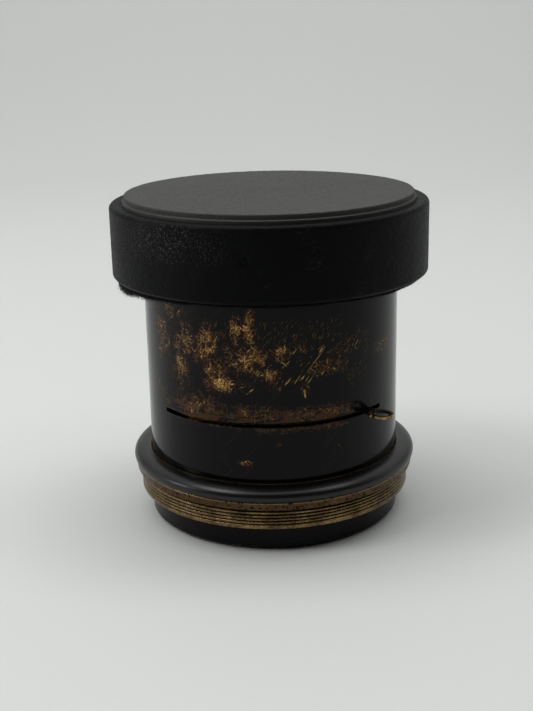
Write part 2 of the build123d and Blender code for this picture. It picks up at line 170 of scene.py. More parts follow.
def make_world():
    """The studio: bright behind and above, dim in front."""
    world = bpy.data.worlds.new("studio")
    bpy.context.scene.world = world
    world.use_nodes = True
    tree = world.node_tree
    tree.nodes.clear()
    where = tree.nodes.new("ShaderNodeTexCoord")
    split = tree.nodes.new("ShaderNodeSeparateXYZ")
    tree.links.new(where.outputs["Generated"], split.inputs[0])
    ramp = tree.nodes.new("ShaderNodeMapRange")
    ramp.interpolation_type = "SMOOTHSTEP"
    for socket, value in (("From Min", STUDIO_SPAN[0]), ("From Max", STUDIO_SPAN[1]),
                          ("To Min", DIM_IN_FRONT), ("To Max", LIT_FROM_BEHIND)):
        ramp.inputs[socket].default_value = value
    tree.links.new(split.outputs["Y"], ramp.inputs["Value"])
    lit = tree.nodes.new("ShaderNodeBackground")
    lit.inputs["Color"].default_value = (*STUDIO_TINT, 1)
    tree.links.new(ramp.outputs["Result"], lit.inputs["Strength"])
    seen = tree.nodes.new("ShaderNodeBackground")
    seen.inputs["Color"].default_value = (*BACKDROP_GREY, 1)
    seen.inputs["Strength"].default_value = SEEN_BACKGROUND
    rays = tree.nodes.new("ShaderNodeLightPath")
    either = tree.nodes.new("ShaderNodeMixShader")
    tree.links.new(rays.outputs["Is Camera Ray"], either.inputs[0])
    tree.links.new(lit.outputs[0], either.inputs[1])
    tree.links.new(seen.outputs[0], either.inputs[2])
    out = tree.nodes.new("ShaderNodeOutputWorld")
    tree.links.new(either.outputs[0], out.inputs["Surface"])


# ================================================================ node helpers
class Material:
    """A procedural material under construction: one Principled shader and its inputs.

    Lengths are in millimetres. self.place is the point on the piece, in the frame at rest, with
    self.x, self.y and self.height as its parts. self.turn is the angle round the lens in
    radians, and self.radius the distance from the lens axis.
    """

    def __init__(self, name, **uniform):
        self.material = bpy.data.materials.new(name)
        self.material.use_nodes = True
        self.tree = self.material.node_tree
        self.tree.nodes.clear()
        self.shader = self.tree.nodes.new("ShaderNodeBsdfPrincipled")
        out = self.tree.nodes.new("ShaderNodeOutputMaterial")
        self.tree.links.new(self.shader.outputs[0], out.inputs["Surface"])
        for key, value in uniform.items():
            self.shader.inputs[key.replace("_", " ")].default_value = value
        coordinates = self.tree.nodes.new("ShaderNodeTexCoord")
        self.place = self.vector("SCALE", coordinates.outputs["Object"], scale=1 / MM)
        split = self.node("ShaderNodeSeparateXYZ", self.place)
        self.x, self.y, self.height = split.outputs
        self.turn = self.math("ARCTAN2", self.x, self.times(self.y, -1.0))
        self.radius = self.math("SQRT", self.plus(self.times(self.x, self.x),
                                                  self.times(self.y, self.y)))

    def plug(self, socket, value):
        """Link a socket, or set a plain value."""
        if isinstance(value, bpy.types.NodeSocket):
            self.tree.links.new(value, socket)
        elif value is not None:
            socket.default_value = value

    def node(self, kind, *inputs, **settings):
        made = self.tree.nodes.new(kind)
        for key, value in settings.items():
            setattr(made, key, value)
        for socket, value in zip(made.inputs, inputs):
            self.plug(socket, value)
        return made

    def math(self, operation, a, b=None):
        return self.node("ShaderNodeMath", a, b, operation=operation).outputs[0]

    def plus(self, a, b):
        return self.math("ADD", a, b)

    def minus(self, a, b):
        return self.math("SUBTRACT", a, b)

    def times(self, a, b):
        return self.math("MULTIPLY", a, b)

    def most(self, a, b):
        return self.math("MAXIMUM", a, b)

    def vector(self, operation, a, b=None, scale=None):
        made = self.node("ShaderNodeVectorMath", a, b, operation=operation)
        if scale is not None:
            made.inputs["Scale"].default_value = scale
        return made.outputs["Value" if operation == "LENGTH" else 0]

    def combine(self, x, y, z=0.0):
        return self.node("ShaderNodeCombineXYZ", x, y, z).outputs[0]

    def noise(self, size_mm, detail=4.0, rough=0.55, where=None, twist=0.0, output="Fac"):
        made = self.node("ShaderNodeTexNoise", where or self.place)
        made.inputs["Scale"].default_value = 1 / size_mm
        made.inputs["Detail"].default_value = detail
        made.inputs["Roughness"].default_value = rough
        made.inputs["Distortion"].default_value = twist
        return made.outputs[output]

    def cells(self, size_mm, feature="F1", where=None):
        made = self.node("ShaderNodeTexVoronoi", where or self.place, feature=feature)
        made.inputs["Scale"].default_value = 1 / size_mm
        return made.outputs["Distance"]

    def ramp(self, value, low, high, to_low=0.0, to_high=1.0):
        """Smooth step of a value from low to high."""
        made = self.node("ShaderNodeMapRange", value, low, high, to_low, to_high,
                         interpolation_type="SMOOTHSTEP")
        return made.outputs[0]

    def within(self, value, middle, far, near):
        """1 where a value is within near of the middle, falling to 0 at far."""
        return self.ramp(self.math("ABSOLUTE", self.minus(value, middle)), far, near)

    def mix(self, factor, a, b):
        """Colour between a and b."""
        made = self.tree.nodes.new("ShaderNodeMix")
        made.data_type = "RGBA"
        self.plug(made.inputs["Factor"], factor)
        for letter, value in (("A", a), ("B", b)):
            socket = [s for s in made.inputs if s.name == letter and s.type == "RGBA"][0]
            linked = isinstance(value, bpy.types.NodeSocket)
            self.plug(socket, value if linked else (*value, 1))
        return [s for s in made.outputs if s.type == "RGBA"][0]

    def blend(self, factor, a, b):
        """Number between a and b."""
        return self.node("ShaderNodeMapRange", factor, 0.0, 1.0, a, b).outputs[0]

    def bump(self, height, depth_mm, strength, under=None):
        made = self.tree.nodes.new("ShaderNodeBump")
        made.inputs["Strength"].default_value = strength
        made.inputs["Distance"].default_value = depth_mm * MM
        self.plug(made.inputs["Height"], height)
        self.plug(made.inputs["Normal"], under)
        return made.outputs[0]

    def set(self, **inputs):
        for key, value in inputs.items():
            self.plug(self.shader.inputs[key.replace("_", " ")], value)
        return self.material


# ================================================================ the barrel's lacquer
LACQUER = (0.0016, 0.0016, 0.0018)
LACQUER_IOR = 1.22
BROWN = (0.060, 0.0270, 0.0110)
TARNISHED = (0.140, 0.066, 0.020)
BRIGHT_BRASS = (0.760, 0.480, 0.160)

# Worn patches of the barrel: angle in degrees, height, half width and half height in
# millimetres, and how far the lacquer has gone.
WORN_PATCHES = [
    (-56, 74, 7, 14, 0.70),
    (-48, 83, 10, 4, 0.70),
    (-43, 66, 5, 16, 0.78),
    (-39, 75, 5, 9, 0.84),
    (-33, 69, 4, 4, 0.76),
    (-29, 73, 6, 9, 0.84),
    (-25, 64, 7, 8, 0.84),
    (-21, 60, 5, 4, 1.00),
    (-15, 79, 2.6, 8, 0.90),
    (-9.5, 79, 2.6, 9, 0.88),
    (-9, 69, 8, 7, 0.88),
    (-3, 64, 6, 4, 0.80),
    (4, 71, 4, 4, 0.86),
    (12, 72, 6, 5, 0.62),
    (24, 65, 11, 4, 0.74),
    (31, 71, 5, 5, 0.66),
    (40, 74, 8, 6, 0.56),
    (57, 68, 9, 4, 0.72),
    (38, 60, 6, 5, 0.50),
    (14, 59, 2, 4, 0.72),
    (-13, 60, 6, 3, 0.62),
    (-12, 32, 3.2, 1.6, 0.86),
    (2, 39, 1.4, 1.4, 0.80),
    (-33, 51, 15, 6, 0.70),
    (-8, 50, 14, 4, 0.66),
    (-28, 80, 5, 3, 0.60),
    (-18, 70, 4, 6, 0.74),
    (-2, 59, 6, 3, 0.50),
    (20, 49, 16, 3.4, 0.76),
    (4, 43.9, 12, 1.3, 0.52),
    (24, 43.8, 12, 1.6, 0.56),
    (-60, 52, 9, 6, 0.56),
    (128, 70, 14, 12, 0.66),
    (172, 58, 16, 8, 0.62),
    (-125, 76, 12, 9, 0.66),
    (-160, 50, 14, 5, 0.60),
]


def around_barrel(m):
    """Way round the barrel's surface from the front, in millimetres."""
    return m.times(m.turn, BARREL_R_MM)


def patch_field(m):
    """How worn the surface is at each point: the strongest of the patches there."""
    field = None
    arc = around_barrel(m)
    for angle, height, half_wide, half_high, strength in WORN_PATCHES:
        centre = math.radians(angle) * BARREL_R_MM
        wide = m.times(m.minus(arc, centre), 1 / half_wide)
        high = m.times(m.minus(m.height, height), 1 / half_high)
        far = m.vector("LENGTH", m.combine(wide, high))
        here = m.ramp(far, 1.75, 0.20, 0.0, strength)
        field = here if field is None else m.most(field, here)
    return field


# Directions in which the lacquer has been scraped: degrees up, length and width in millimetres.
STROKES = [(52, 3.8, 0.60), (-38, 3.4, 0.60), (86, 4.4, 0.66), (12, 3.0, 0.56)]

# Single deep scratches: angle in degrees, height, degrees up, length and width in millimetres.
DEEP_SCRATCHES = [
    (18.5, 68.0, 50, 13.0, 0.26),
    (21.0, 71.5, 52, 4.2, 0.70),
    (6.5, 61.5, 50, 4.2, 0.75),
    (10.5, 62.0, 54, 5.5, 0.28),
    (12.6, 62.2, 57, 3.2, 0.50),
    (15.8, 61.2, 52, 4.6, 0.36),
    (5.0, 67.5, -50, 3.0, 0.40),
    (-8.0, 73.0, -60, 3.2, 0.40),
    (-9.5, 58.0, 40, 3.6, 0.60),
    (-24.0, 75.5, 62, 4.0, 0.30),
    (13.5, 56.5, -80, 3.6, 0.80),
]


def turned_axes(m, right, up, degrees_up):
    """Distances along and across a direction on the barrel's surface."""
    cos, sin = math.cos(math.radians(degrees_up)), math.sin(math.radians(degrees_up))
    along = m.plus(m.times(right, cos), m.times(up, sin))
    across = m.minus(m.times(up, cos), m.times(right, sin))
    return along, across


def stroke_noise(m, degrees_up, length_mm, width_mm):
    """Noise drawn out in one direction on the barrel's surface."""
    along, across = turned_axes(m, around_barrel(m), m.height, degrees_up)
    where = m.combine(m.times(along, 1 / length_mm), m.times(across, 1 / width_mm),
                      float(degrees_up))
    return m.noise(1.0, detail=2.0, where=where)


def hatching(m, degrees_up, length_mm, width_mm, thin):
    """Fine straight scratches in one direction on the barrel's surface: 1 on a scratch."""
    return m.ramp(stroke_noise(m, degrees_up, length_mm, width_mm), thin, thin + 0.03)


def deep_scratches(m):
    """The single scratches that go down to the brass: 1 on a scratch."""
    arc = around_barrel(m)
    found = 0.0
    for angle, height, degrees_up, length, width in DEEP_SCRATCHES:
        right = m.minus(arc, math.radians(angle) * BARREL_R_MM)
        along, across = turned_axes(m, right, m.minus(m.height, height), degrees_up)
        far = m.vector("LENGTH", m.combine(m.times(along, 2 / length),
                                           m.times(across, 2 / width)))
        found = m.most(found, m.ramp(far, 1.15, 0.55))
    broken = m.ramp(m.noise(1.0, detail=3.0), 0.36, 0.54, 0.15, 0.85)
    return m.times(found, broken)


def barrel_scratches(m, field):
    """All the scratches, none of them a letter: 1 on a scratch."""
    marked_height, scored_height, scored_turn = 78.2, 68.0, 0.34
    marked = m.times(m.within(m.height, marked_height, 4.6, 3.4),
                     m.within(m.turn, 0.0, 0.58, 0.50))
    scored = m.times(m.within(m.turn, scored_turn, 0.62, 0.30),
                     m.within(m.height, scored_height, 11.0, 5.0))
    rising = m.times(hatching(m, 49, 4.0, 0.34, 0.66), scored)
    falling = m.times(hatching(m, -41, 3.4, 0.34, 0.65), m.ramp(field, 0.45, 0.8))
    leaning = m.times(m.times(hatching(m, 66, 2.4, 0.42, 0.60), marked), 0.35)
    hairlines = m.times(hatching(m, 42, 26.0, 0.16, 0.70), 0.30)
    found = m.most(m.most(m.most(rising, falling), leaning), hairlines)
    return m.most(found, deep_scratches(m))


# Shares of three noises in the wear, and the level above which the lacquer is gone: where no
# patch is, and how much lower in a full patch.
BROAD_SHARE, CRUMB_SHARE, STROKE_SHARE = 0.24, 0.15, 0.61
SOUND_LEVEL = 0.752
PATCH_DROP = 0.222


def lacquer_loss(m, field, broad):
    """How far the wear is past bare brass: above 0 on brass, a little below on brown."""
    upright = m.combine(m.x, m.y, m.times(m.height, 0.40))
    crumbs = m.noise(0.75, detail=4.0, rough=0.8, where=upright, twist=0.9)
    strokes = None
    for degrees_up, length, width in STROKES:
        run = stroke_noise(m, degrees_up, length, width)
        strokes = run if strokes is None else m.most(strokes, run)
    level = m.plus(m.times(broad, BROAD_SHARE), m.times(crumbs, CRUMB_SHARE))
    level = m.plus(level, m.times(strokes, STROKE_SHARE))
    return m.minus(level, m.minus(SOUND_LEVEL, m.times(field, PATCH_DROP)))


def slot_rub(m):
    """Streaky brown rubbing along the slot, where the lever is worked."""
    middle_turn, strength = -0.12, 0.14
    above = m.ramp(m.minus(m.height, SLOT_Z_MM), 11.0, 0.5)
    near = m.times(above, m.ramp(m.height, SLOT_Z_MM - 5.0, SLOT_Z_MM))
    rub = m.times(m.times(near, m.within(m.turn, middle_turn, 1.02, 0.62)), strength)
    streaks = m.combine(m.times(around_barrel(m), 0.16), m.height)
    return m.times(rub, m.ramp(m.noise(1.1, detail=4.0, where=streaks), 0.38, 0.62))


def barrel_lacquer():
    """Glossy black lacquer on brass, worn through to brown and to bare brass."""
    m = Material("barrel_lacquer", IOR=LACQUER_IOR)
    field = patch_field(m)
    broad = m.noise(5.5, detail=5.0, rough=0.6, twist=0.8)
    over = lacquer_loss(m, field, broad)
    brown = m.ramp(m.plus(over, slot_rub(m)), -0.080, 0.006)
    brass = m.ramp(over, 0.000, 0.008)
    scratches = barrel_scratches(m, field)
    flecks = m.times(m.ramp(m.cells(7.0), 0.055, 0.030), m.ramp(broad, 0.50, 0.58))
    bare = m.most(m.most(brass, m.times(scratches, 0.85)), m.times(flecks, 0.8))

    tone = m.noise(0.6, detail=4.0, rough=0.7)
    bright = m.times(m.ramp(tone, 0.46, 0.58), m.ramp(over, 0.012, 0.060))
    bright = m.most(bright, m.times(scratches, 0.8))
    colour = m.mix(m.times(brown, 0.9), LACQUER, BROWN)
    colour = m.mix(bare, colour, m.mix(bright, TARNISHED, BRIGHT_BRASS))

    gloss = m.blend(m.ramp(m.noise(11.0, detail=6.0), 0.35, 0.65), 0.10, 0.17)
    rough = m.blend(bare, m.blend(brown, gloss, 0.46), 0.44)
    hollow = m.minus(m.times(bare, -1.0), m.times(brown, 0.3))
    grain = m.bump(m.noise(0.9, detail=3.0), 0.004, 0.4)
    return m.set(Base_Color=colour, Metallic=m.times(bare, 0.6), Roughness=rough,
                 Normal=m.bump(hollow, 0.030, 0.8, under=grain))


# ================================================================ the other materials
def collar_finish():
    """Bare tarnished brass on thread and rim, black lacquer on the bead above them, with painted
    shade in the thread's grooves and a painted highlight along the rim's upper edge.
    """
    m = Material("collar_finish")
    edge_noise = m.noise(2.2, detail=8.0, rough=0.65)
    fine = m.noise(0.7, detail=4.0)
    start = m.plus(m.height, m.times(edge_noise, 0.5))
    lacquered = m.ramp(start, RIM_TOP_MM + 0.20, RIM_TOP_MM + 0.36)
    junction = m.ramp(m.plus(m.radius, m.times(edge_noise, 0.6)), BARREL_R_MM + 1.25,
                      BARREL_R_MM + 0.95)
    chips = m.ramp(m.noise(4.0, detail=10.0, rough=0.72), 0.665, 0.69)
    lacquered = m.times(lacquered, m.minus(1.0, m.most(m.times(junction, 0.8), chips)))

    around = m.combine(m.times(m.x, 0.30), m.times(m.y, 0.30), m.height)
    turned = m.noise(0.35, detail=3.0, where=around)
    tone = m.plus(m.times(m.noise(6.0, detail=5.0), 0.6), m.times(turned, 0.5))
    brass = m.mix(m.ramp(tone, 0.42, 0.72), (0.085, 0.052, 0.021), (0.285, 0.192, 0.082))
    rim = m.ramp(m.height, RIM_LOW_MM - 0.2, RIM_LOW_MM)
    # The rim is browned by tarnish. Its upper edge is painted paler: a painted highlight.
    lip = m.ramp(m.height, RIM_TOP_MM - 0.55, RIM_TOP_MM - 0.15)
    browned_and_highlit = m.mix(m.times(rim, 0.85), brass, (0.060, 0.030, 0.012))
    browned_and_highlit = m.mix(m.times(lip, 0.6), browned_and_highlit, (0.300, 0.225, 0.120))
    # Painted shade: the thread's grooves and the undercut below the rim are painted near black and
    # made less metallic.
    groove_shade = m.ramp(m.plus(m.radius, m.times(fine, 0.25)), THREAD_R_MM, THREAD_R_MM - 0.45)
    groove_shade = m.times(groove_shade, m.minus(1.0, rim))
    pits = m.times(m.ramp(m.noise(1.2, detail=4.0), 0.56, 0.62), rim)
    # Painted shade in the grooves, together with the rim's real dark pits.
    shaded_and_pitted = m.mix(m.most(groove_shade, pits), browned_and_highlit, (0.007, 0.005, 0.003))

    metallic = m.times(m.minus(1.0, lacquered), m.minus(0.9, m.times(groove_shade, 0.8)))
    rough = m.blend(lacquered, m.blend(m.ramp(fine, 0.3, 0.7), 0.24, 0.36), 0.33)
    return m.set(Base_Color=m.mix(lacquered, shaded_and_pitted, LACQUER), Metallic=metallic,
                 Roughness=rough, IOR=m.blend(lacquered, 1.45, 1.42),
                 Normal=m.bump(m.noise(0.7, detail=3.0), 0.006, 0.5))


def plain_lacquer():
    """The foot's black lacquer, rubbed along its edges."""
    m = Material("foot_lacquer", IOR=LACQUER_IOR)
    broad = m.noise(8.0, detail=9.0, rough=0.6)
    rubbed = m.ramp(m.plus(m.height, m.times(broad, 1.6)), 2.0, 1.1)
    flecks = m.ramp(m.cells(6.0), 0.06, 0.04)
    worn = m.most(m.times(rubbed, 0.6), m.times(flecks, 0.6))
    rough = m.blend(m.ramp(broad, 0.3, 0.7), 0.22, 0.34)
    return m.set(Base_Color=m.mix(worn, (0.0014, 0.0015, 0.0018), BROWN), Roughness=rough,
                 Normal=m.bump(m.noise(0.4, detail=3.0), 0.012, 0.5))


def lever_finish():
    """Black lacquer on the lever's faces, rubbed to bright brass round its edge."""
    m = Material("lever_finish")
    wear = m.noise(1.4, detail=6.0, rough=0.6)
    eye_x = LEVER_EYE_MM * math.sin(LEVER_ANGLE)
    eye_y = -LEVER_EYE_MM * math.cos(LEVER_ANGLE)
    from_eye = m.vector("LENGTH", m.combine(m.minus(m.x, eye_x), m.minus(m.y, eye_y)))
    edge_r = LEVER_WIDTH_MM / 2
    rim = m.ramp(m.plus(from_eye, m.times(wear, 0.5)), edge_r - 0.18, edge_r - 0.02)
    outside = m.ramp(m.radius, BARREL_R_MM + 2.2, BARREL_R_MM + 4.0)
    speckle = m.ramp(wear, 0.60, 0.64)
    bare = m.most(m.times(rim, outside), m.times(speckle, 0.6))
    brass = m.mix(m.ramp(wear, 0.35, 0.65), (0.15, 0.080, 0.028), (0.40, 0.26, 0.105))
    return m.set(Base_Color=m.mix(bare, (0.004, 0.004, 0.004), brass),
                 Metallic=m.times(bare, 0.95), Roughness=m.blend(bare, 0.26, 0.32),
                 IOR=m.blend(bare, LACQUER_IOR, 1.45),
                 Normal=m.bump(m.noise(0.5, detail=3.0), 0.010, 0.5))


def painted_glint_area(m):
    """Where the tops of the side's grain are painted pale as glints of a light at the upper left, a
    painted highlight: 0 to 1.
    """
    turn, height, half_turn, half_high = -0.66, 109.5, 0.46, 7.5
    broad = m.noise(9.0, detail=4.0)
    across = m.times(m.minus(m.turn, turn), 1 / half_turn)
    up = m.times(m.minus(m.height, height), 1 / half_high)
    far = m.plus(m.vector("LENGTH", m.combine(across, up)), m.times(m.minus(broad, 0.5), 1.6))
    near = m.ramp(far, 1.25, 0.35)
    elsewhere = m.times(m.ramp(broad, 0.56, 0.70), 0.35)
    on_side = m.ramp(m.height, CAP_RIM_MM + 0.2, CAP_RIM_MM - 1.2)
    return m.times(m.most(near, elsewhere), on_side)


def cap_leather(name, base, ior, polish):
    """Fine pebbled black leather; polish is the roughness of the pebbles' tops."""
    m = Material(name, IOR=ior)
    swirl = m.vector("ADD", m.place, m.vector("SCALE", m.noise(2.5, output="Color"), scale=0.6))
    pebble = m.cells(0.62, feature="DISTANCE_TO_EDGE", where=swirl)
    tops = m.ramp(pebble, 0.02, 0.30)
    broad = m.noise(14.0, detail=6.0)
    dark = tuple(0.7 * part for part in base)
    colour = m.mix(m.times(m.ramp(broad, 0.3, 0.7), tops), dark, base)
    # Painted highlight: pale grain tops on the side stand for the glints of a light at the upper
    # left.
    painted_glints = m.times(m.ramp(m.noise(0.55, detail=2.0), 0.56, 0.66), painted_glint_area(m))
    colour = m.mix(painted_glints, colour, (0.060, 0.062, 0.058))
    rough = m.plus(m.blend(tops, polish + 0.20, polish), m.times(m.minus(broad, 0.5), 0.10))
    pores = m.bump(m.noise(0.22, detail=2.0), 0.010, 0.4)
    return m.set(Base_Color=colour, Roughness=rough, Normal=m.bump(tops, 0.07, 0.70, under=pores))


def velvet():
    """Worn black velvet, a little brown where the nap has gone."""
    m = Material("velvet", Roughness=0.95, IOR=1.15, Sheen_Weight=0.06, Sheen_Roughness=0.45,
                 Sheen_Tint=(0.5, 0.5, 0.52, 1))
    worn = m.noise(3.0, detail=7.0, rough=0.6)
    colour = m.mix(m.ramp(worn, 0.45, 0.7), (0.0022, 0.0021, 0.0024), (0.0085, 0.0070, 0.0065))
    return m.set(Base_Color=colour, Normal=m.bump(m.noise(0.25, detail=3.0), 0.10, 0.8))


def pasteboard():
    """Raw brown pasteboard, with faint fibres."""
    m = Material("pasteboard", Roughness=0.9)
    fibres = m.noise(0.5, detail=6.0, rough=0.7, where=m.vector("MULTIPLY", m.place, (1, 1, 0.2)))
    colour = m.mix(fibres, (0.20, 0.155, 0.105), (0.33, 0.27, 0.19))
    return m.set(Base_Color=colour, Normal=m.bump(fibres, 0.05, 0.6))


def turned_brass(name, dark, light, metallic, rough):
    """Lathe-turned metal: tool rings round the axis, and slow tarnish."""
    m = Material(name, Metallic=metallic)
    rings = m.noise(0.16, detail=2.0, where=m.combine(m.radius, m.height))
    tarnish = m.noise(6.0, detail=6.0)
    tone = m.plus(m.times(rings, 0.35), m.times(tarnish, 0.75))
    colour = m.mix(m.ramp(tone, 0.35, 0.75), dark, light)
    return m.set(Base_Color=colour, Roughness=m.blend(tarnish, rough + 0.10, rough - 0.06),
                 Normal=m.bump(rings, 0.010, 0.7))


def leaf_steel():
    """Blackened spring steel with fine rubbing marks."""
    m = Material("leaf_steel", Metallic=0.85)
    rub = m.noise(0.3, detail=3.0, where=m.combine(m.radius, m.turn))
    stain = m.noise(5.0, detail=6.0)
    colour = m.mix(m.ramp(stain, 0.35, 0.7), (0.030, 0.030, 0.033), (0.075, 0.072, 0.070))
    return m.set(Base_Color=colour, Roughness=m.blend(rub, 0.34, 0.52),
                 Normal=m.bump(rub, 0.006, 0.5))


def optical_glass():
    """Polished glass with the faintest film of dust."""
    m = Material("optical_glass", Transmission_Weight=1.0, IOR=1.55,
                 Base_Color=(0.985, 0.995, 0.985, 1))
    dust = m.ramp(m.noise(1.2, detail=8.0, rough=0.75), 0.60, 0.78)
    return m.set(Roughness=m.blend(dust, 0.0, 0.10))


def scale_paint():
    """Dirty white filling of the engraved scale, mostly lost."""
    m = Material("scale_paint", IOR=LACQUER_IOR)
    left = m.ramp(m.noise(0.9, detail=8.0, rough=0.7), 0.38, 0.52)
    colour = m.mix(left, (0.004, 0.003, 0.003), (0.080, 0.074, 0.058))
    return m.set(Base_Color=colour, Roughness=m.blend(left, 0.5, 0.8))


# ================================================================ mesh helpers
def mesh_object(name, points, faces):
    """A smooth-shaded piece from a point array and a face list."""
    mesh = bpy.data.meshes.new(name)
    mesh.from_pydata([tuple(p) for p in points], [], faces)
    mesh.validate()
    for polygon in mesh.polygons:
        polygon.use_smooth = True
    return add_object(name, mesh)


def mesh_from_curve(name, curve):
    """A mesh of a curve's filled shape."""
    flat = add_object(name, curve)
    bpy.context.view_layer.update()
    mesh = bpy.data.meshes.new_from_object(flat)
    bpy.data.objects.remove(flat)
    mesh.name = name
    return mesh


def weld(piece, distance=2e-6):
    """Joins points that lie together, as where a turned surface meets the axis."""
    work = bmesh.new()
    work.from_mesh(piece.data)
    bmesh.ops.remove_doubles(work, verts=work.verts, dist=distance)
    bmesh.ops.recalc_face_normals(work, faces=work.faces)
    work.to_mesh(piece.data)
    work.free()


def rounded_outline(corners, spacing, steps=5):
    """Closed outline through (radius, height, fillet) corners.

    Its points are at most spacing apart, and a fillet has the given number of steps.
    """
    outline = []
    count = len(corners)
    for i in range(count):
        before = Vector(corners[i - 1][:2])
        here = Vector(corners[i][:2])
        after = Vector(corners[(i + 1) % count][:2])
        fillet = corners[i][2]
        back, on = (before - here).normalized(), (after - here).normalized()
        if fillet <= 0:
            outline.append(here)
            continue
        half = back.angle(on) / 2
        reach = fillet / math.tan(half)
        centre = here + (back + on).normalized() * (fillet / math.sin(half))
        first, last = here + back * reach - centre, here + on * reach - centre
        sweep = math.atan2(first.x * last.y - first.y * last.x, first.dot(last))
        for step in range(steps + 1):
            c, s = math.cos(sweep * step / steps), math.sin(sweep * step / steps)
            outline.append(centre + Vector((first.x * c - first.y * s, first.x * s + first.y * c)))
    dense = []
    for a, b in zip(outline, outline[1:] + outline[:1]):
        parts = max(1, math.ceil((b - a).length / spacing))
        dense += [a.lerp(b, k / parts) for k in range(parts)]
    return np.array([tuple(p) for p in dense])


def outward(outline):
    """Unit normals of a closed outline, away from the material inside it."""
    ahead, behind = np.roll(outline, -1, 0), np.roll(outline, 1, 0)
    tangent = ahead - behind
    tangent /= np.linalg.norm(tangent, axis=1, keepdims=True) + 1e-12
    area = np.sum(outline[:, 0] * ahead[:, 1] - ahead[:, 0] * outline[:, 1])
    side = 1.0 if area > 0 else -1.0
    return side * np.stack([tangent[:, 1], -tangent[:, 0]], 1)


def turned_piece(name, outline, segments, relief):
    """A closed ring turned from an outline in millimetres.

    relief(angles, radii, heights), all as (point, angle) arrays, gives how far the surface
    stands out, in millimetres.
    """
    angles = np.linspace(-math.pi, math.pi, segments, endpoint=False)
    radii = np.repeat(outline[:, :1], segments, 1)
    heights = np.repeat(outline[:, 1:], segments, 1)
    turn = np.repeat(angles[None, :], len(outline), 0)
    normals = outward(outline)
    out = relief(turn, radii, heights)
    radii = radii + normals[:, :1] * out
    heights = heights + normals[:, 1:] * out
    points = np.stack([radii * np.sin(turn), -radii * np.cos(turn), heights], 2).reshape(-1, 3) * MM
    rows, across = len(outline), np.arange(segments)
    beside = np.roll(across, -1)
    faces = []
    for row in range(rows):
        above = (row + 1) % rows
        faces += np.stack([row * segments + across, row * segments + beside,
                           above * segments + beside, above * segments + across], 1).tolist()
    return mesh_object(name, points, faces)


def smooth_step(low, high, x):
    """0 up to low, 1 from high on, and an S curve between them."""
    t = np.clip((x - low) / (high - low), 0, 1)
    return t * t * (3 - 2 * t)


def sample_solid(turn, radii, heights, size, sample, seed=0.0):
    """sample(point) at each point of a turned surface, in units of size."""
    x = (radii * np.sin(turn) / size + seed).ravel()
    y = (-radii * np.cos(turn) / size).ravel()
    z = (heights / size - seed).ravel()
    return np.array([sample(point) for point in zip(x, y, z)]).reshape(turn.shape)


def lumps(turn, radii, heights, size, octaves, seed=0.0):
    """Soft solid noise, about -1 to 1, on the points of a turned surface."""
    smoothness, octave_step = 0.8, 2.0

    def sample(point):
        return noise.fractal(point, smoothness, octave_step, octaves)

    return sample_solid(turn, radii, heights, size, sample, seed)


def pebbles(turn, radii, heights):
    """The leather's pebbles: 0 in the creases, 1 on top."""
    def from_crease(point):
        nearest = noise.voronoi(point)[0]
        return nearest[1] - nearest[0]

    return smooth_step(0.0, 0.45, sample_solid(turn, radii, heights, GRAIN_MM, from_crease))


def stand_for(piece, node, body, material):
    """A detailed piece that takes a CAD node's place."""
    piece.data.materials.append(material)
    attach(piece, body)
    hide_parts(node)


# ================================================================ cap
SIDE_ROOM_MM = 0.1                  # kept free outside the side leather, for its grain


def cap_band(leather):
    """The side's leather, turned under at the bottom and over the rounded top edge."""
    outer_r, bottom, top = CAP_R_MM - SIDE_ROOM_MM, CAP_BOTTOM_MM + SKIN_MM, CAP_RIM_MM - SKIN_MM
    lip_r, card_bottom = DISC_R_MM + 0.42, CAP_BOTTOM_MM + LEATHER_MM
    corners = [
        (outer_r, bottom, 1.15),
        (outer_r, top, 1.5),
        (lip_r, top, 0.35),
        (lip_r, CARD_TOP_MM + FIT_MM, 0),
        (CARD_OUTER_MM, CARD_TOP_MM + FIT_MM, 0),
        (CARD_OUTER_MM, card_bottom, 0),
        (CARD_INNER_MM, card_bottom, 0),
        (CARD_INNER_MM, bottom, 0.3),
    ]
    outline = rounded_outline(corners, spacing=0.42, steps=6)
    dent_turn, dent_height, dent_depth = math.radians(-8.5), 105.0, 0.42

    def relief(turn, radii, heights):
        outer = smooth_step(CARD_OUTER_MM, CARD_OUTER_MM + 0.4, radii)
        lip = smooth_step(CARD_TOP_MM + 0.3, CARD_TOP_MM + 0.6, heights)
        slow = 0.07 * lumps(turn, radii, heights, 16.0, 2)
        dent_x = (turn - dent_turn) * CAP_R_MM
        dent_far = np.hypot(dent_x / 1.5, (heights - dent_height) / 1.1)
        dent = -dent_depth * np.exp(-((dent_far - 0.9) ** 2) / 0.12) * (dent_x > -1.2)
        grain = PEBBLE_HEIGHT_MM * (pebbles(turn, radii, heights) - 1.0)
        return np.maximum(outer, lip) * (np.minimum(slow, 0.06) + dent + grain)

    band = turned_piece("cap_side_leather", outline, segments=860, relief=relief)
    stand_for(band, "cap_leather_band", "cap", leather)


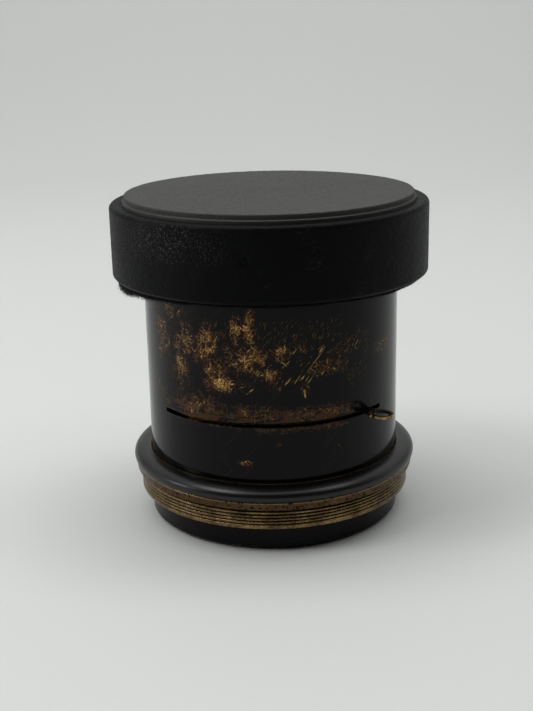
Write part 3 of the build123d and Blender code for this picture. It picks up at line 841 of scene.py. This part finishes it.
def cap_disc(leather):
    """The raised top disc's leather, with a rolled ridge where it meets the rim."""
    under, card_edge_r, ridge_r = CAP_TOP_MM - LEATHER_MM, DISC_R_MM - 1.30, DISC_R_MM + 0.24
    corners = [
        (0.0, CAP_TOP_MM - 0.10, 0),
        (0.0, under, 0),
        (card_edge_r, under, 0),
        (card_edge_r, CARD_TOP_MM + FIT_MM, 0),
        (ridge_r, CARD_TOP_MM + FIT_MM, 0.1),
        (ridge_r, CAP_RIM_MM + 1.00, 0.42),
        (DISC_R_MM - 0.58, CAP_RIM_MM + 1.05, 0.12),
        (DISC_R_MM - 0.50, CAP_TOP_MM - 0.12, 0.40),
    ]
    outline = rounded_outline(corners, spacing=0.48, steps=6)

    def relief(turn, radii, heights):
        outside = smooth_step(CAP_TOP_MM - 0.6, CAP_TOP_MM - 0.3, heights)
        side = 0.4 * smooth_step(DISC_R_MM - 0.9, DISC_R_MM - 0.6, radii)
        slow = 0.05 * lumps(turn, radii, heights, 22.0, 2, seed=3.7)
        grain = PEBBLE_HEIGHT_MM * (pebbles(turn, radii, heights) - 1.0)
        return np.maximum(outside, side) * (slow + grain)

    disc = turned_piece("cap_top_leather", outline, segments=640, relief=relief)
    weld(disc)
    stand_for(disc, "cap_leather_top", "cap", leather)


LOOSE_TURN_DEG = -72                # the camera's left, where the lining has come loose
LOOSE_SPAN_DEG = 24


def lining_droop(turn):
    """How far the lining's edge hangs lower, in millimetres."""
    off = (turn - math.radians(LOOSE_TURN_DEG)) / math.radians(LOOSE_SPAN_DEG)
    loose = np.exp(-(off ** 2))
    waves = 0.14 * np.sin(turn * 9 + 1.0) + 0.10 * np.sin(turn * 23 + 2.0)
    return 1.9 * loose + 0.75 + waves


def cap_lining(cloth):
    """The velvet lining, with its loose lower edge and the nap that stands out from it."""
    inner_r, outer_r = LINING_INNER_MM + 0.08, CARD_INNER_MM - 0.03
    corners = [
        (inner_r, LINING_BOTTOM_MM + 0.3, 0.5),
        (outer_r, LINING_BOTTOM_MM + 0.3, 0.5),
        (outer_r, LINING_TOP_MM, 0),
        (inner_r, LINING_TOP_MM, 0),
    ]
    outline = rounded_outline(corners, spacing=0.7, steps=4)
    loose_height = 2.4              # how far up from its edge the lining hangs loose

    def relief(turn, radii, heights):
        return 0.06 * lumps(turn, radii, heights, 2.0, 2, seed=8.1)

    lining = turned_piece("cap_lining", outline, segments=720, relief=relief)
    for vertex in lining.data.vertices:
        height = vertex.co.z / MM
        near_edge = 1 - min(1, max(0, (height - LINING_BOTTOM_MM) / loose_height))
        turn = math.atan2(vertex.co.x, -vertex.co.y)
        vertex.co.z -= near_edge * lining_droop(turn) * MM
    stand_for(lining, "cap_velvet_lining", "cap", cloth)

    nap = velvet_nap("cap_lining_nap", strands=3600)
    nap.data.materials.append(cloth)
    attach(nap, "cap")


def velvet_nap(name, strands):
    """Short tapered fibres round the lining's lower edge, longest where it hangs loose."""
    chance = random.Random(41)
    loose_share, loose_spread_deg, loose_stretch = 0.30, 17, 1.7
    steps, sides = 3, 3
    points, faces = [], []
    for _ in range(strands):
        loose_end = chance.random() < loose_share
        if loose_end:
            turn = math.radians(chance.gauss(LOOSE_TURN_DEG, loose_spread_deg))
        else:
            turn = chance.uniform(-math.pi, math.pi)
        droop = float(lining_droop(np.array(turn)))
        radius = chance.uniform(LINING_INNER_MM + 0.2, CARD_INNER_MM - 0.2)
        length = chance.uniform(0.35, 1.0) * (loose_stretch if loose_end else 1.0)
        lean_out = chance.gauss(0.15, 0.45)
        lean_round = chance.gauss(0, 0.5)
        thick = chance.uniform(0.018, 0.035)
        base = len(points)
        for step in range(steps + 1):
            t = step / steps
            lean = length * (0.4 * t + 0.6 * t * t)
            r = radius + lean_out * lean
            a = turn + lean_round * lean / radius
            z = LINING_BOTTOM_MM + 0.45 - droop - length * t * (1 - 0.25 * t * t)
            wide = thick * (1 - 0.8 * t)
            for corner in range(sides):
                spin = corner * 2 * math.pi / sides
                corner_r = r + wide * math.cos(spin)
                corner_a = a + wide * math.sin(spin) / r
                points.append((corner_r * math.sin(corner_a) * MM,
                               -corner_r * math.cos(corner_a) * MM, z * MM))
        for step in range(steps):
            for corner in range(sides):
                a0 = base + step * sides + corner
                b0 = base + step * sides + (corner + 1) % sides
                faces.append((a0, b0, b0 + sides, a0 + sides))
        tip = base + steps * sides
        faces.append((base + 2, base + 1, base))
        faces.append((tip, tip + 1, tip + 2))
    return mesh_object(name, points, faces)


def cap_ceiling(cloth):
    """The round of velvet inside the cap's top, slightly loose on its board."""
    low, high = (corner.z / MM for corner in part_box("cap_velvet_disc"))
    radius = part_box("cap_velvet_disc")[1].x / MM
    corners = [
        (0.0, low + 0.12, 0),
        (radius - 0.05, low + 0.12, 0.35),
        (radius - 0.05, high, 0),
        (0.0, high, 0),
    ]
    outline = rounded_outline(corners, spacing=0.9, steps=4)

    def relief(turn, radii, heights):
        under = 1 - smooth_step(low + 0.2, low + 0.5, heights)
        rippled = 0.10 * lumps(turn, radii, heights, 9.0, 3, seed=2.3) - 0.02
        fine = 0.05 * lumps(turn, radii, heights, 1.6, 2, seed=6.4)
        return under * np.minimum(rippled + fine, 0.10)

    ceiling = turned_piece("cap_lining_round", outline, segments=360, relief=relief)
    weld(ceiling)
    stand_for(ceiling, "cap_velvet_disc", "cap", cloth)


# ================================================================ mounting collar
def collar(finish):
    """The collar, with a true helical thread, a pitted rim and the rounded bead."""
    bore_r, thread_r, bead_r = BARREL_R_MM + FIT_MM, THREAD_R_MM - FIT_MM, BEAD_R_MM - 0.04
    shoulder_r, bead_steps = 47.4, 18
    bead = []
    for step in range(1, bead_steps + 1):
        angle = math.pi / 2 * step / bead_steps
        bead.append((shoulder_r + (bead_r - shoulder_r) * math.cos(angle) ** 0.86,
                     BEAD_CREST_MM + (COLLAR_TOP_MM - BEAD_CREST_MM) * math.sin(angle) ** 0.92))
    lower = rounded_outline([
        (bore_r, COLLAR_BOTTOM_MM, 0),
        (thread_r, COLLAR_BOTTOM_MM, 0.35),
        (thread_r, RELIEF_TOP_MM - 0.95, 0),
        (THREAD_R_MM - 0.74, RELIEF_TOP_MM - 0.70, 0),
        (THREAD_R_MM - 0.74, RELIEF_TOP_MM, 0),
        (THREAD_R_MM + 0.05, RIM_LOW_MM, 0),
        (RIM_R_MM - FIT_MM, RIM_LOW_MM, 0.18),
        (RIM_R_MM - FIT_MM, RIM_TOP_MM, 0.30),
        (RIM_R_MM - 0.35, RIM_TOP_MM + 0.12, 0.1),
        (BEAD_R_MM - 0.25, RIM_TOP_MM + 0.75, 0.5),
        (bead_r, BEAD_CREST_MM, 0),
        (bore_r, BEAD_CREST_MM, 0),
    ], spacing=0.115)
    crest = max(i for i, p in enumerate(lower) if abs(p[0] - bead_r) < 0.02)
    junction = [(BARREL_R_MM + 0.9, COLLAR_TOP_MM), (bore_r, COLLAR_TOP_MM - 0.05)]
    inside = [(bore_r, z) for z in (20.0, 15.0)]
    outline = np.vstack([lower[:crest + 1], bead, junction, inside])
    pitted_height = 18.6

    def relief(turn, radii, heights):
        outer = smooth_step(THREAD_R_MM - 0.4, THREAD_R_MM - 0.1, radii)
        band = smooth_step(COLLAR_BOTTOM_MM + 0.75, COLLAR_BOTTOM_MM + 1.25, heights)
        band *= 1 - smooth_step(RELIEF_TOP_MM - 1.1, RELIEF_TOP_MM - 0.9, heights)
        phase = (heights - COLLAR_BOTTOM_MM + 0.1) / PITCH_MM - turn / (2 * math.pi)
        from_groove = np.abs((phase % 1.0) - 0.5) * 2
        groove = 1 - smooth_step(0.0, 0.62, from_groove)
        nicks = np.clip(lumps(turn, radii, heights, 2.1, 3, seed=5.0) - 0.45, 0, 1)
        thread = -outer * band * (GROOVE_DEPTH_MM * groove + 0.09 * nicks * (1 - groove))
        on_rim = smooth_step(RIM_R_MM - 0.5, RIM_R_MM - 0.2, radii)
        on_rim *= 1 - smooth_step(RIM_TOP_MM - 0.1, RIM_TOP_MM + 0.1, heights)
        middle = np.exp(-(((heights - pitted_height) / 0.6) ** 2))
        pits = np.clip(lumps(turn, radii, heights, 0.95, 3, seed=9.0) - 0.12, 0, 0.5)
        rim = -on_rim * pits * (0.06 + 0.50 * middle)
        return thread + rim

    piece = turned_piece("threaded_collar", outline, segments=620, relief=relief)
    weld(piece)
    stand_for(piece, "mount_collar", "barrel", finish)


# ================================================================ lever
def lever_half_width(reach):
    """Half width of the lever's foot and neck at a distance from the lens axis."""
    foot, neck = LEVER_WIDTH_MM / 2 - 0.03, LEVER_NECK_MM / 2
    narrowed = smooth_step(LEVER_SHOULDER_MM, LEVER_SHOULDER_MM + 2.6, reach)
    flared = smooth_step(LEVER_EYE_MM - 5.6, LEVER_EYE_MM - 2.2, reach)
    return foot + (neck - foot) * narrowed + (foot - neck) * flared


def arc_points(u, v, radius, first, sweep, steps):
    """Points on an arc round (u, v), from an angle and over a sweep of it."""
    turns = [first + sweep * k / steps for k in range(steps + 1)]
    return [(u + radius * math.cos(a), v + radius * math.sin(a)) for a in turns]


def lever(finish):
    """The lever: a foot under its screws, a narrow neck and a flat eye with rounded edges."""
    half = LEVER_WIDTH_MM / 2 - 0.03
    tip = arc_points(LEVER_EYE_MM, 0, half, math.radians(118), -math.radians(236), 48)
    side = [(u, lever_half_width(u)) for u in np.linspace(LEVER_FOOT_MM, LEVER_EYE_MM - 2.2, 40)
            if u < tip[0][0] - 0.15]
    outer = side + tip + [(u, -v) for u, v in reversed(side)]
    holes = [arc_points(LEVER_EYE_MM, 0, LEVER_HOLE_MM, 0, 2 * math.pi, 48)[:-1]]
    for sign in (-1, 1):
        holes.append(arc_points(LEVER_SCREWS_MM[0], sign * LEVER_SCREWS_MM[1], LEVER_SCREW_R_MM,
                                0, 2 * math.pi, 20)[:-1])
    soft = 0.20                     # rounding of the edges
    thick = LEVER_HIGH.z / MM - LEVER_LOW.z / MM - 0.02
    curve = bpy.data.curves.new("lever_outline", "CURVE")
    curve.dimensions = "2D"
    curve.fill_mode = "BOTH"
    curve.extrude = (thick / 2 - soft) * MM
    curve.bevel_depth = soft * MM
    curve.bevel_resolution = 3
    curve.offset = -soft * MM
    for path in [outer] + holes:
        spline = curve.splines.new("POLY")
        spline.points.add(len(path) - 1)
        for point, (u, v) in zip(spline.points, path):
            point.co = (u * MM, v * MM, 0, 1)
        spline.use_cyclic_u = True
    mesh = mesh_from_curve("aperture_lever", curve)
    middle = (LEVER_LOW.z + LEVER_HIGH.z) / 2
    mesh.transform(Matrix.Translation((0, 0, middle))
                   @ Matrix.Rotation(LEVER_ANGLE - math.pi / 2, 4, "Z"))
    piece = add_object("aperture_lever", mesh)
    weld(piece, 5e-6)
    stand_for(piece, "iris_lever", "iris_ring", finish)


# ================================================================ engraved scale
SCALE_NUMBERS = ["4", "5", "8", "11", "16", "22"]
SCALE_FIRST_DEG = 47.5
SCALE_STEP_DEG = 16.6
NUMBER_HEIGHT_MM = 2.2
NUMBER_BASE_MM = 48.1
FONT_PER_FIGURE = 1.38              # size of the font for figures one unit high


def wrapped_text(name, text, angle):
    """Engraved figures as a thin inlay that follows the barrel's surface."""
    curve = bpy.data.curves.new(name, "FONT")
    curve.body = text
    curve.size = NUMBER_HEIGHT_MM * MM * FONT_PER_FIGURE
    curve.align_x = "CENTER"
    curve.extrude = 0.02 * MM
    curve.resolution_u = 6
    mesh = mesh_from_curve(name, curve)
    surface = (BARREL_R_MM + 0.005) * MM
    for vertex in mesh.vertices:
        across, up, out = vertex.co
        turn = angle + across / surface
        r = surface + out
        vertex.co = (r * math.sin(turn), -r * math.cos(turn), NUMBER_BASE_MM * MM + up)
    return add_object(name, mesh)


def aperture_scale(paint):
    """Generic aperture numbers above the slot."""
    for index, text in enumerate(SCALE_NUMBERS):
        angle = math.radians(SCALE_FIRST_DEG - index * SCALE_STEP_DEG)
        piece = wrapped_text(f"scale_number_{text}", text, angle)
        piece.data.materials.append(paint)
        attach(piece, "barrel")


# ================================================================ the scene
def make_floor():
    """Plain pale floor that sweeps up into the backdrop."""
    profile = [(FLOOR_FRONT, 0.0), (-FLOOR_BACK, 0.0), (0.0, 0.0), (FLOOR_BACK, 0.0)]
    bend_steps = 24
    for step in range(1, bend_steps + 1):
        turn = math.pi / 2 * step / bend_steps
        y = FLOOR_BACK + FLOOR_BEND * math.sin(turn)
        profile.append((y, FLOOR_BEND * (1 - math.cos(turn))))
    profile.append((FLOOR_BACK + FLOOR_BEND, BACKDROP_TOP))
    points = [(side * FLOOR_HALF_WIDTH, y, z) for y, z in profile for side in (-1, 1)]
    faces = [(2 * i, 2 * i + 1, 2 * i + 3, 2 * i + 2) for i in range(len(profile) - 1)]
    floor = mesh_object("floor", points, faces)
    m = Material("floor_paint", Roughness=0.6, IOR=1.25, Base_Color=(*BACKDROP_GREY, 1))
    floor.data.materials.append(m.material)


def dress(nodes, material):
    """Gives CAD nodes that stay a better material."""
    for name in nodes:
        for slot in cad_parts[name].material_slots:
            slot.material = material


make_camera()
make_world()
make_floor()
for softbox in SOFTBOXES:
    area_light(*softbox)

black_brass = turned_brass("blackened_brass", (0.012, 0.011, 0.010), (0.035, 0.030, 0.024),
                           0.4, 0.48)
bare_brass = turned_brass("bare_brass", (0.26, 0.17, 0.06), (0.56, 0.41, 0.17), 1.0, 0.34)
blued = turned_brass("blued_steel", (0.02, 0.025, 0.05), (0.07, 0.08, 0.13), 1.0, 0.30)
side_leather = cap_leather("cap_side_grain", (0.0014, 0.0016, 0.0021), 1.17, 0.32)
# The top's black leather gets a grey base colour: painted sheen, standing for the backdrop's
# grazing reflection on the top.
top_leather_painted_sheen = cap_leather("cap_top_painted_sheen", (0.0380, 0.0385, 0.0345), 1.45, 0.46)
cloth = velvet()

dress(["main_barrel"], barrel_lacquer())
dress(["rear_cell"], plain_lacquer())
dress(["rear_spacer", "rear_retaining_ring", "front_hood", "front_cell", "front_retaining_ring",
       "iris_spacer_ring", "iris_cover_ring"], black_brass)
dress(["iris_base_ring", "iris_drive_ring"], bare_brass)
dress(["lever_screws"], blued)
dress([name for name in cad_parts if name.startswith("iris_leaf")], leaf_steel())
dress(["rear_flint", "rear_crown", "front_flint", "front_crown"], optical_glass())
dress(["cap_top_board", "cap_board_disc", "cap_board_tube"], pasteboard())

cap_band(side_leather)
cap_disc(top_leather_painted_sheen)
cap_lining(cloth)
cap_ceiling(cloth)
collar(collar_finish())
lever(lever_finish())
aperture_scale(scale_paint())

bpy.context.scene.view_settings.view_transform = "Standard"
